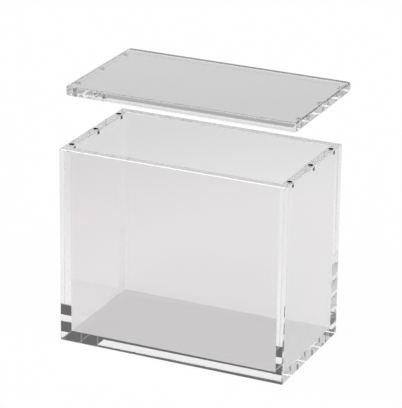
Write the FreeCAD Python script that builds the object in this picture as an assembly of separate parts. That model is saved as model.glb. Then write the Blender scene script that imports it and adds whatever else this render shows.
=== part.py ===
"""Clear acrylic display case: four walls glued to a base plate, and a flat lid held on by small magnets.

Millimetres, +Z up, +X to the right and +Y to the back. The origin is the centre of the base's underside.
"""
import FreeCAD
import Part

import os

# Room inside the case
inner_width = 140.0
inner_depth = 75.0
inner_height = 122.0

# Acrylic sheet
wall_thickness = 6.0
base_thickness = 6.0
lid_thickness = 6.0

# The lid's corners in plan and its polished round edges, and the small bevel on the case's edges
lid_corner_radius = 2.0
lid_edge_radius = 0.8
edge_bevel = 0.4

# Disc magnets, set in blind pockets in the side walls' top edges and in the lid's underside
magnet_diameter = 3.4
magnet_height = 3.0
magnet_bevel = 0.1
pocket_clearance = 0.05
magnet_recess = 0.05
glue_line = 0.05
magnet_end_distance = 11.2

# Where the lid is held, lifted off the walls and a little to the right
lid_lift = 35.2
lid_shift = 4.6

# Sizes and places that follow from those
outer_width = inner_width + 2 * wall_thickness
outer_depth = inner_depth + 2 * wall_thickness
rim_height = base_thickness + inner_height
lid_underside = rim_height + lid_lift
side_wall_middle = (inner_width + wall_thickness) / 2
magnet_reach = outer_depth / 2 - magnet_end_distance
pocket_radius = magnet_diameter / 2 + pocket_clearance
pocket_depth = glue_line + magnet_height + magnet_recess

Vector = FreeCAD.Vector
UP = Vector(0, 0, 1)
SIDES = {"left": -side_wall_middle, "right": side_wall_middle}
STATIONS = {"front": -magnet_reach, "middle": 0.0, "back": magnet_reach}
TOUCH = 1e-6


def block(x_from, x_to, y_from, y_to, z_from, z_to):
    """A box between two corners."""
    return Part.makeBox(x_to - x_from, y_to - y_from, z_to - z_from, Vector(x_from, y_from, z_from))


def footprint_block(z_from, z_to):
    """A box over the whole footprint of the case."""
    return block(-outer_width / 2, outer_width / 2, -outer_depth / 2, outer_depth / 2, z_from, z_to)


def edges_at(shape, height):
    """The edges that lie wholly at one height."""
    return [e for e in shape.Edges if e.BoundBox.ZLength < TOUCH and abs(e.BoundBox.ZMin - height) < TOUCH]


def upright_edges(shape):
    """The straight edges that run along Z."""
    return [e for e in shape.Edges if e.BoundBox.XLength < TOUCH and e.BoundBox.YLength < TOUCH]


def case_envelope():
    """The outside of the glued case, with bevels that run across the glued joints."""
    outside = footprint_block(0.0, rim_height)
    return outside.makeChamfer(edge_bevel, outside.Edges)


def rim_countersink():
    """The flat-sided funnel that bevels the rim's inner edges all the way round."""
    half_width = inner_width / 2 + edge_bevel
    half_depth = inner_depth / 2 + edge_bevel
    throat = rim_height - edge_bevel
    mouth = block(-half_width, half_width, -half_depth, half_depth, throat, rim_height + edge_bevel)
    return mouth.makeChamfer(edge_bevel, edges_at(mouth, throat))


def panel_blanks():
    """Square-cut sheets: the walls stand on the base, and the side walls run the full depth."""
    half_width = inner_width / 2
    half_depth = inner_depth / 2
    upright = (base_thickness, rim_height)
    return {
        "base_panel": footprint_block(0.0, base_thickness),
        "front_panel": block(-half_width, half_width, -outer_depth / 2, -half_depth, *upright),
        "back_panel": block(-half_width, half_width, half_depth, outer_depth / 2, *upright),
        "left_panel": block(-outer_width / 2, -half_width, -outer_depth / 2, outer_depth / 2, *upright),
        "right_panel": block(half_width, outer_width / 2, -outer_depth / 2, outer_depth / 2, *upright),
    }


def pocket(x, y, low_end):
    """The blind hole that holds one magnet."""
    return Part.makeCylinder(pocket_radius, pocket_depth, Vector(x, y, low_end), UP)


def magnet(x, y, low_end):
    """A disc magnet with bevelled rims."""
    disc = Part.makeCylinder(magnet_diameter / 2, magnet_height, Vector(x, y, low_end), UP)
    rims = edges_at(disc, low_end) + edges_at(disc, low_end + magnet_height)
    return disc.makeChamfer(magnet_bevel, rims).Solids[0]


def glued_panels():
    """Base and walls, each its own solid, with the glued areas marked out as faces on both sides."""
    envelope = case_envelope()
    countersink = rim_countersink()
    panels = {name: blank.common(envelope).cut(countersink) for name, blank in panel_blanks().items()}
    for side, x in SIDES.items():
        for y in STATIONS.values():
            wall = f"{side}_panel"
            panels[wall] = panels[wall].cut(pocket(x, y, rim_height - pocket_depth))
    base, *walls = [panel.Solids[0] for panel in panels.values()]
    marked = base.generalFuse(walls)[1]
    return {name: pieces[0] for name, pieces in zip(panels, marked)}


def lid_panel():
    """The lid plate, with rounded corners and edges and a pocket over each one in the walls."""
    blank = footprint_block(lid_underside, lid_underside + lid_thickness)
    rounded = blank.makeFillet(lid_corner_radius, upright_edges(blank))
    rims = edges_at(rounded, lid_underside) + edges_at(rounded, lid_underside + lid_thickness)
    lid = rounded.makeFillet(lid_edge_radius, rims)
    for x in SIDES.values():
        for y in STATIONS.values():
            lid = lid.cut(pocket(x, y, lid_underside))
    lid.translate(Vector(lid_shift, 0, 0))
    return lid.Solids[0]


def magnets():
    """One magnet in each pocket, bedded on glue and set just below the mouth."""
    made = {}
    case_seat = rim_height - magnet_recess - magnet_height
    lid_seat = lid_underside + magnet_recess
    for side, x in SIDES.items():
        for station, y in STATIONS.items():
            made[f"case_magnet_{side}_{station}"] = magnet(x, y, case_seat)
            made[f"lid_magnet_{side}_{station}"] = magnet(x + lid_shift, y, lid_seat)
    return made


def main():
    nodes = glued_panels()
    nodes["lid_panel"] = lid_panel()
    nodes.update(magnets())
    os.makedirs("parts", exist_ok=True)
    for name, solid in nodes.items():
        solid.exportStep(f"parts/{name}.step")
        print(f"{name}: {solid.ShapeType}, {len(solid.Faces)} faces, {solid.Volume:.1f} mm3")


main()
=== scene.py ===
"""Looks of a clear acrylic display case, with a lid held on by small magnets.

Metres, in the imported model's frame. The CAD solids stay as they are. Their polygons are sorted by place and
direction into cast faces, edges, rims, bevels, drilled holes and glued joints, each with its own material.
"""
import math

import bpy
from mathutils import Matrix, Vector


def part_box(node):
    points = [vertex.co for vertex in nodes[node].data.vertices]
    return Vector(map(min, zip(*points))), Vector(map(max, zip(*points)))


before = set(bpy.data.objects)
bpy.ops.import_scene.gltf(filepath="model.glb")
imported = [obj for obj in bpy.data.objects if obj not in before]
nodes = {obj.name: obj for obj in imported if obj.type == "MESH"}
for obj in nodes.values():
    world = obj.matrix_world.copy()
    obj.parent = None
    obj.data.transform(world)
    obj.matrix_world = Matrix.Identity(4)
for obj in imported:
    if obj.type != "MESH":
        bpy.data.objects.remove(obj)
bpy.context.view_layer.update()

scene = bpy.context.scene

# Pieces by kind, and the axis that each sheet's thickness lies along
THICKNESS_AXIS = {
    "base_panel": 2,
    "front_panel": 1,
    "back_panel": 1,
    "left_panel": 0,
    "right_panel": 0,
    "lid_panel": 2,
}
LID = "lid_panel"
STATIONS = [f"{side}_{place}" for side in ("left", "right") for place in ("front", "middle", "back")]
CASE_MAGNETS = [f"case_magnet_{station}" for station in STATIONS]
LID_MAGNETS = [f"lid_magnet_{station}" for station in STATIONS]

# Camera, fitted to the photograph: it looks at a point a little off the case's middle
VIEW_AZIMUTH = math.radians(24.69)
VIEW_ELEVATION = math.radians(21.08)
VIEW_ROLL = math.radians(0.74)
VIEW_DISTANCE = 1.568
VIEW_SIDESTEP = 0.00028
VIEW_RISE = 0.02424
FOCAL_PIXELS = 2509
PHOTO_HEIGHT = 408
SENSOR = 36.0

# Floor, and how much of it glows white to the camera and through the plastic
FLOOR_GAP = 0.0002
FLOOR_SIZE = 12.0
FLOOR_TONE = 0.85
WHITE_SHARE_SEEN = 0.97
WHITE_SHARE_THROUGH = 0.85

# The glow seen through the plastic, which fades away from the right of the case: a painted pool of light on the
# floor, as if a lamp shone from the right
GLOW_CENTRE = (0.17, 0.08, 0.0)
GLOW_NEAR = 0.84
GLOW_FAR = 0.71
GLOW_START = 0.28
GLOW_END = 0.45

# The glow mirrored in the plastic: a painted pool of light, brightest close round the case, and painted shade
# in front of the case, standing for the table's front edge though the floor itself goes on
SPOT_CENTRE = (0.0, 0.0, 0.0)
SPOT_NEAR = 1.0
SPOT_FAR = 0.75
SPOT_START = 0.05
SPOT_END = 0.3
PAINTED_SHADE_START = -0.36
PAINTED_SHADE_FULL = -0.42
PAINTED_SHADE_SHARE = 0.15

# Studio by direction, from Y = -1 in front to 1 behind: a room that is darker towards the back
ROOM_FRONT_TONE = 0.6
ROOM_BACK_TONE = 0.1
ROOM_FRONT = -0.35
ROOM_BACK = 0.25

# A pale backdrop behind and beside the case, which fades out upwards
BACKDROP_TONE = 0.84
BACKDROP_SIDE = -0.35
BACKDROP_FULL = -0.1
BACKDROP_TOP = 0.24
BACKDROP_END = 0.42

# A broad soft light above the camera, which brings the whole studio to a plain level
BOX_TONE = 2.2
BOX_START = 0.5
BOX_FULL = 0.65
BOX_FRONT = -0.1
BOX_BACK = 0.25
WHITE = (1, 1, 1, 1)

# Light paths through many sheets
MAX_BOUNCES = 32
MAX_CLEAR_BOUNCES = 64

# Acrylic
ACRYLIC_IOR = 1.49
FACE_TINT = (0.96, 0.95, 0.952)
EDGE_TINT = (0.97, 0.97, 0.975)
RIM_TINT = (0.79, 0.79, 0.8)
BEVEL_TINT = (0.98, 0.98, 0.98)
CEMENT_TINT = (0.93, 0.94, 0.95)

# Magnets
EPOXY_BLACK = (0.004, 0.004, 0.005)
NICKEL = (0.78, 0.75, 0.71)

# How noise is drawn out: small factors make long marks along their axes
EVEN_SPREAD = (1.0, 1.0, 1.0)
CUTTER_DRAW = 0.02
DRILL_RING_SPREAD = (0.05, 0.05, 1.0)
SCUFF_SPREAD = (1.0, 0.25, 1.0)

# Sorting polygons: lengths that count as touching, then limits on the parts of a normal
TOUCH = 1e-5
POCKET_MARGIN = 1e-4
ALIGNED = 0.99
SQUARE = 1e-5
FACING_UP = 0.1

# Material slots on each sheet
SHEET, EDGE, RIM, BEVEL, RIM_BEVEL, POCKET, POCKET_END, CEMENT = range(8)


class Tree:
    """The node tree of a material or a world, emptied, with short ways to add to it."""

    def __init__(self, owner):
        owner.use_nodes = True
        self.parts = owner.node_tree.nodes
        self.links = owner.node_tree.links
        self.parts.clear()

    def add(self, kind, sockets=None, **settings):
        """A node with its settings made and its sockets fed."""
        node = self.parts.new(f"ShaderNode{kind}")
        for name, value in settings.items():
            setattr(node, name, value)
        for key, value in (sockets or {}).items():
            self.feed(node.inputs[key], value)
        return node

    def feed(self, socket, value):
        """Links a socket to another node's output, or sets it to a plain value."""
        if isinstance(value, bpy.types.NodeSocket):
            self.links.new(value, socket)
        else:
            socket.default_value = value

    def place(self, kind="Object"):
        """Coordinates: a piece's own metres, or the direction in a world when Generated."""
        return self.add("TexCoord").outputs[kind]

    def noise(self, scale, detail=3.0, spread=EVEN_SPREAD):
        """Noise in the model's own metres, drawn out along the axes that have small factors."""
        mapping = self.add("Mapping", {"Vector": self.place(), "Scale": spread})
        sockets = {"Vector": mapping.outputs["Vector"], "Scale": scale, "Detail": detail}
        return self.add("TexNoise", sockets).outputs["Fac"]

    def ranged(self, value, low, high, start=0.0, end=1.0):
        """A value from start to end, spread over low to high."""
        sockets = {"Value": value, "From Min": start, "From Max": end, "To Min": low, "To Max": high}
        return self.add("MapRange", sockets).outputs["Result"]

    def combine(self, operation, first, second):
        """Two values put through one Math operation."""
        return self.add("Math", {0: first, 1: second}, operation=operation).outputs[0]


class Finish(Tree):
    """A material with one Principled shader."""

    def __init__(self, name, colour, sockets=None):
        self.material = bpy.data.materials.new(name)
        super().__init__(self.material)
        self.shader = self.add("BsdfPrincipled", {"Base Color": (*colour, 1), **(sockets or {})})
        self.add("OutputMaterial", {"Surface": self.shader.outputs["BSDF"]})

    def roughen(self, grain, smooth, rough, start=0.0, end=1.0):
        """Roughness that follows a grain."""
        self.feed(self.shader.inputs["Roughness"], self.ranged(grain, smooth, rough, start, end))

    def relief(self, height, depth, strength):
        """Fine relief that follows a height."""
        bump = self.add("Bump", {"Height": height, "Distance": depth, "Strength": strength})
        self.feed(self.shader.inputs["Normal"], bump.outputs["Normal"])


def clear_plastic(name, tint, clearness=1.0):
    """Clear acrylic with no surface detail yet."""
    return Finish(name, tint, {"Transmission Weight": clearness, "IOR": ACRYLIC_IOR})


def sheet_face():
    """The cast face of the sheet: glass-smooth, with a slow waviness."""
    finish = clear_plastic("acrylic_face", FACE_TINT)
    finish.feed(finish.shader.inputs["Roughness"], 0.0)
    finish.relief(finish.noise(scale=14.0), depth=0.0004, strength=0.06)
    return finish.material


def polished_edge(axis):
    """A cut and polished edge: slow waves along its length, and cutter marks through the thickness."""
    finish = clear_plastic(f"acrylic_edge_{'xyz'[axis]}", EDGE_TINT)
    spread = list(EVEN_SPREAD)
    spread[axis] = CUTTER_DRAW
    marks = finish.noise(scale=900.0, detail=2.0, spread=spread)
    finish.roughen(marks, smooth=0.0, rough=0.03, start=0.35, end=0.75)
    waves = finish.noise(scale=110.0, detail=1.0, spread=spread)
    finish.relief(waves, depth=0.0001, strength=0.5)
    return finish.material


def buffed_rim():
    """The walls' top edges, trued after glueing and buffed to a faint haze."""
    finish = clear_plastic("acrylic_rim", RIM_TINT, clearness=0.8)
    finish.roughen(finish.noise(scale=220.0), smooth=0.02, rough=0.06)
    finish.relief(finish.noise(scale=60.0), depth=0.0001, strength=0.2)
    return finish.material


def broken_edge(name, clearness):
    """A narrow bevel that breaks a sharp edge, buffed but not quite clear."""
    finish = clear_plastic(name, BEVEL_TINT, clearness)
    finish.roughen(finish.noise(scale=400.0), smooth=0.2, rough=0.28)
    return finish.material


def round_edge():
    """The lid's rounded edges, polished with a flame, which leaves them wavy."""
    finish = clear_plastic("acrylic_round_edge", EDGE_TINT)
    finish.roughen(finish.noise(scale=400.0), smooth=0.0, rough=0.03)
    finish.relief(finish.noise(scale=90.0), depth=0.0002, strength=0.3)
    return finish.material


def pocket_end():
    """The end of a drilled hole: frosted by the drill's tip, so it looks whitish."""
    finish = clear_plastic("acrylic_pocket_end", EDGE_TINT, clearness=0.3)
    frost = finish.noise(scale=5000.0)
    finish.roughen(frost, smooth=0.35, rough=0.6)
    finish.relief(frost, depth=0.00003, strength=0.3)
    return finish.material


def drilled_pocket():
    """The wall of a drilled hole, with the drill's rings."""
    finish = clear_plastic("acrylic_pocket", EDGE_TINT)
    rings = finish.noise(scale=6000.0, spread=DRILL_RING_SPREAD)
    finish.roughen(rings, smooth=0.22, rough=0.42)
    finish.relief(rings, depth=0.00004, strength=0.3)
    return finish.material


def cement():
    """Clear cement in a glued joint: next to invisible, with faint specks of haze."""
    finish = Finish("cement", CEMENT_TINT, {"Roughness": 0.6})
    haze = finish.ranged(finish.noise(scale=900.0), low=0.0, high=0.15, start=0.72, end=0.85)
    finish.feed(finish.shader.inputs["Alpha"], haze)
    return finish.material


def black_epoxy():
    """A dull black coat with a fine orange-peel."""
    finish = Finish("black_epoxy", EPOXY_BLACK, {"Specular IOR Level": 0.0})
    peel = finish.noise(scale=5000.0)
    finish.roughen(peel, smooth=0.42, rough=0.62)
    finish.relief(peel, depth=0.00002, strength=0.25)
    return finish.material


def bright_nickel():
    """Nickel plate with fine tumbling scuffs."""
    finish = Finish("bright_nickel", NICKEL, {"Metallic": 1.0})
    scuffs = finish.noise(scale=4000.0, spread=SCUFF_SPREAD)
    finish.roughen(scuffs, smooth=0.12, rough=0.28)
    finish.relief(scuffs, depth=0.00001, strength=0.2)
    return finish.material


def is_glued(polygon, room_low, room_high):
    """Whether a panel's polygon lies on a cemented joint, beyond the room inside the case."""
    centre = polygon.center
    beyond_side = centre.x < room_low.x - TOUCH or centre.x > room_high.x + TOUCH
    beyond_end = centre.y < room_low.y - TOUCH or centre.y > room_high.y + TOUCH
    if abs(centre.z - room_low.z) < TOUCH and abs(polygon.normal.z) > ALIGNED:
        return beyond_side or beyond_end
    on_side = min(abs(centre.x - room_low.x), abs(centre.x - room_high.x)) < TOUCH
    return on_side and beyond_end and abs(polygon.normal.x) > ALIGNED


def in_pocket(polygon, magnets, mouth):
    """Whether a polygon belongs to a magnet's hole, whose mouth is at one height."""
    centre = polygon.center
    if abs(centre.z - mouth) < TOUCH:
        return False
    for low, high in magnets:
        middle = (low + high) / 2
        reach = (high.x - low.x) / 2 + POCKET_MARGIN
        beside = math.hypot(centre.x - middle.x, centre.y - middle.y) < reach
        if beside and low.z - POCKET_MARGIN < centre.z < high.z + POCKET_MARGIN:
            return True
    return False


def outer_slot(polygon, axis, is_lid):
    """The slot for a polygon on a sheet's outside."""
    normal = [abs(c) for c in polygon.normal]
    if normal[axis] > ALIGNED:
        return SHEET
    if polygon.normal.z > ALIGNED:
        return RIM
    if max(normal) > ALIGNED or (is_lid and normal[axis] < SQUARE):
        return EDGE
    if not is_lid and polygon.normal.z > FACING_UP:
        return RIM_BEVEL
    return BEVEL


def dress_sheets():
    """Gives each sheet its materials, and each polygon the slot for what it is."""
    room_low = Vector((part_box("left_panel")[1].x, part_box("front_panel")[1].y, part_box("base_panel")[1].z))
    room_high = Vector((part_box("right_panel")[0].x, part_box("back_panel")[0].y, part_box("left_panel")[1].z))
    magnets = [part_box(name) for name in CASE_MAGNETS + LID_MAGNETS]
    edges = [polished_edge(axis) for axis in range(3)]
    lid_bevel = round_edge()
    case_bevel = broken_edge("acrylic_bevel", clearness=1.0)
    shared = {
        SHEET: sheet_face(),
        RIM: buffed_rim(),
        RIM_BEVEL: broken_edge("acrylic_rim_bevel", clearness=0.1),
        POCKET: drilled_pocket(),
        POCKET_END: pocket_end(),
        CEMENT: cement(),
    }
    for name, axis in THICKNESS_AXIS.items():
        is_lid = name == LID
        finishes = {**shared, EDGE: edges[axis], BEVEL: lid_bevel if is_lid else case_bevel}
        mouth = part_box(LID)[0].z if is_lid else room_high.z
        mesh = nodes[name].data
        mesh.materials.clear()
        for slot in sorted(finishes):
            mesh.materials.append(finishes[slot])
        for polygon in mesh.polygons:
            if not is_lid and is_glued(polygon, room_low, room_high):
                polygon.material_index = CEMENT
            elif in_pocket(polygon, magnets, mouth):
                polygon.material_index = POCKET_END if abs(polygon.normal.z) > ALIGNED else POCKET
            else:
                polygon.material_index = outer_slot(polygon, axis, is_lid)


def dress_magnets():
    """Black coats on the magnets in the walls, and bright plate on those in the lid."""
    for names, finish in ((CASE_MAGNETS, black_epoxy()), (LID_MAGNETS, bright_nickel())):
        for name in names:
            mesh = nodes[name].data
            mesh.materials.clear()
            mesh.materials.append(finish)


def fading_glow(tree, centre, near, far, start, end):
    """A painted pool of light on the floor, which fades with the distance from a centre."""
    distance = tree.add("VectorMath", {0: tree.place(), 1: centre}, operation="DISTANCE").outputs["Value"]
    return tree.ranged(distance, near, far, start, end)


def glow_strength(tree, path):
    """The floor's glow: white to the camera, paler through the plastic with a painted pool of light to the
    right of the case, and where the plastic mirrors it, a painted pool of light close round the case and
    painted shade in front.
    """
    mirrored = tree.combine("MINIMUM", path["Glossy Depth"], 1.0)
    # Painted pool of light on the floor, brightest to the right of the case, as if a lamp stood there
    glow = fading_glow(tree, GLOW_CENTRE, GLOW_NEAR, GLOW_FAR, GLOW_START, GLOW_END)
    # Painted pool of light close round the case, seen only where the plastic mirrors the floor
    spot = fading_glow(tree, SPOT_CENTRE, SPOT_NEAR, SPOT_FAR, SPOT_START, SPOT_END)
    brighter = tree.combine("MAXIMUM", glow, tree.combine("MULTIPLY", spot, mirrored))
    ahead = tree.add("SeparateXYZ", {"Vector": tree.place()}).outputs["Y"]
    # Painted shade in front of the case, seen only where the plastic mirrors the floor
    painted_shade = tree.ranged(ahead, PAINTED_SHADE_SHARE, 1.0, PAINTED_SHADE_FULL, PAINTED_SHADE_START)
    kept = tree.combine("MAXIMUM", painted_shade, tree.combine("SUBTRACT", 1.0, mirrored))
    return tree.combine("MAXIMUM", tree.combine("MULTIPLY", brighter, kept), path["Is Camera Ray"])


def white_share(tree, path):
    """How much of the floor glows: most to the camera, less through the plastic, none as bounced light."""
    through = tree.combine("MAXIMUM", path["Is Glossy Ray"], path["Is Transmission Ray"])
    partly = tree.combine("MULTIPLY", through, WHITE_SHARE_THROUGH)
    mostly = tree.combine("MULTIPLY", path["Is Camera Ray"], WHITE_SHARE_SEEN)
    return tree.combine("MAXIMUM", partly, mostly)


def make_floor():
    """A wide pale floor just under the case."""
    mesh = bpy.data.meshes.new("floor")
    half = FLOOR_SIZE / 2
    corners = [(x, y, -FLOOR_GAP) for x, y in ((-half, -half), (half, -half), (half, half), (-half, half))]
    mesh.from_pydata(corners, [], [(0, 1, 2, 3)])
    floor = bpy.data.objects.new("floor", mesh)
    scene.collection.objects.link(floor)
    material = bpy.data.materials.new("pale_floor")
    tree = Tree(material)
    path = tree.add("LightPath").outputs
    matt = tree.add("BsdfDiffuse", {"Color": (FLOOR_TONE, FLOOR_TONE, FLOOR_TONE, 1)}).outputs["BSDF"]
    glow = tree.add("Emission", {"Strength": glow_strength(tree, path)}).outputs["Emission"]
    mix = tree.add("MixShader", {0: white_share(tree, path), 1: matt, 2: glow})
    tree.add("OutputMaterial", {"Surface": mix.outputs["Shader"]})
    mesh.materials.append(material)


def make_world():
    """The studio all round: room, backdrop or soft light, the brightest of them, and white to the camera."""
    world = bpy.data.worlds.new("studio")
    scene.world = world
    tree = Tree(world)
    direction = tree.add("SeparateXYZ", {"Vector": tree.place("Generated")}).outputs
    room = tree.ranged(direction["Y"], ROOM_FRONT_TONE, ROOM_BACK_TONE, ROOM_FRONT, ROOM_BACK)
    behind = tree.ranged(direction["Y"], 0.0, BACKDROP_TONE, BACKDROP_SIDE, BACKDROP_FULL)
    low = tree.ranged(direction["Z"], 1.0, 0.0, BACKDROP_TOP, BACKDROP_END)
    backdrop = tree.combine("MULTIPLY", behind, low)
    high = tree.ranged(direction["Z"], 0.0, BOX_TONE, BOX_START, BOX_FULL)
    before = tree.ranged(direction["Y"], 1.0, 0.0, BOX_FRONT, BOX_BACK)
    box = tree.combine("MULTIPLY", high, before)
    lit = tree.combine("MAXIMUM", tree.combine("MAXIMUM", room, backdrop), box)
    strength = tree.combine("MAXIMUM", lit, tree.add("LightPath").outputs["Is Camera Ray"])
    background = tree.add("Background", {"Color": WHITE, "Strength": strength})
    tree.add("OutputWorld", {"Surface": background.outputs["Background"]})


def make_camera():
    """The photograph's view, with its slight roll."""
    back = Vector((
        math.sin(VIEW_AZIMUTH) * math.cos(VIEW_ELEVATION),
        -math.cos(VIEW_AZIMUTH) * math.cos(VIEW_ELEVATION),
        math.sin(VIEW_ELEVATION),
    ))
    right = Vector((math.cos(VIEW_AZIMUTH), math.sin(VIEW_AZIMUTH), 0))
    up = back.cross(right)
    case_middle = Vector((0, 0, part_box("left_panel")[1].z / 2))
    target = case_middle + right * VIEW_SIDESTEP + up * VIEW_RISE
    rolled_right = right * math.cos(VIEW_ROLL) + up * math.sin(VIEW_ROLL)
    rolled_up = back.cross(rolled_right)
    camera = bpy.data.cameras.new("camera")
    camera.sensor_width = SENSOR
    camera.lens = SENSOR * FOCAL_PIXELS / PHOTO_HEIGHT
    holder = bpy.data.objects.new("camera", camera)
    place = Matrix((rolled_right, rolled_up, back)).transposed().to_4x4()
    place.translation = target + back * VIEW_DISTANCE
    holder.matrix_world = place
    scene.collection.objects.link(holder)
    scene.camera = holder


dress_sheets()
dress_magnets()
make_floor()
make_world()
make_camera()
scene.view_settings.view_transform = "Standard"
scene.cycles.max_bounces = MAX_BOUNCES
scene.cycles.glossy_bounces = MAX_BOUNCES
scene.cycles.transmission_bounces = MAX_BOUNCES
scene.cycles.transparent_max_bounces = MAX_CLEAR_BOUNCES
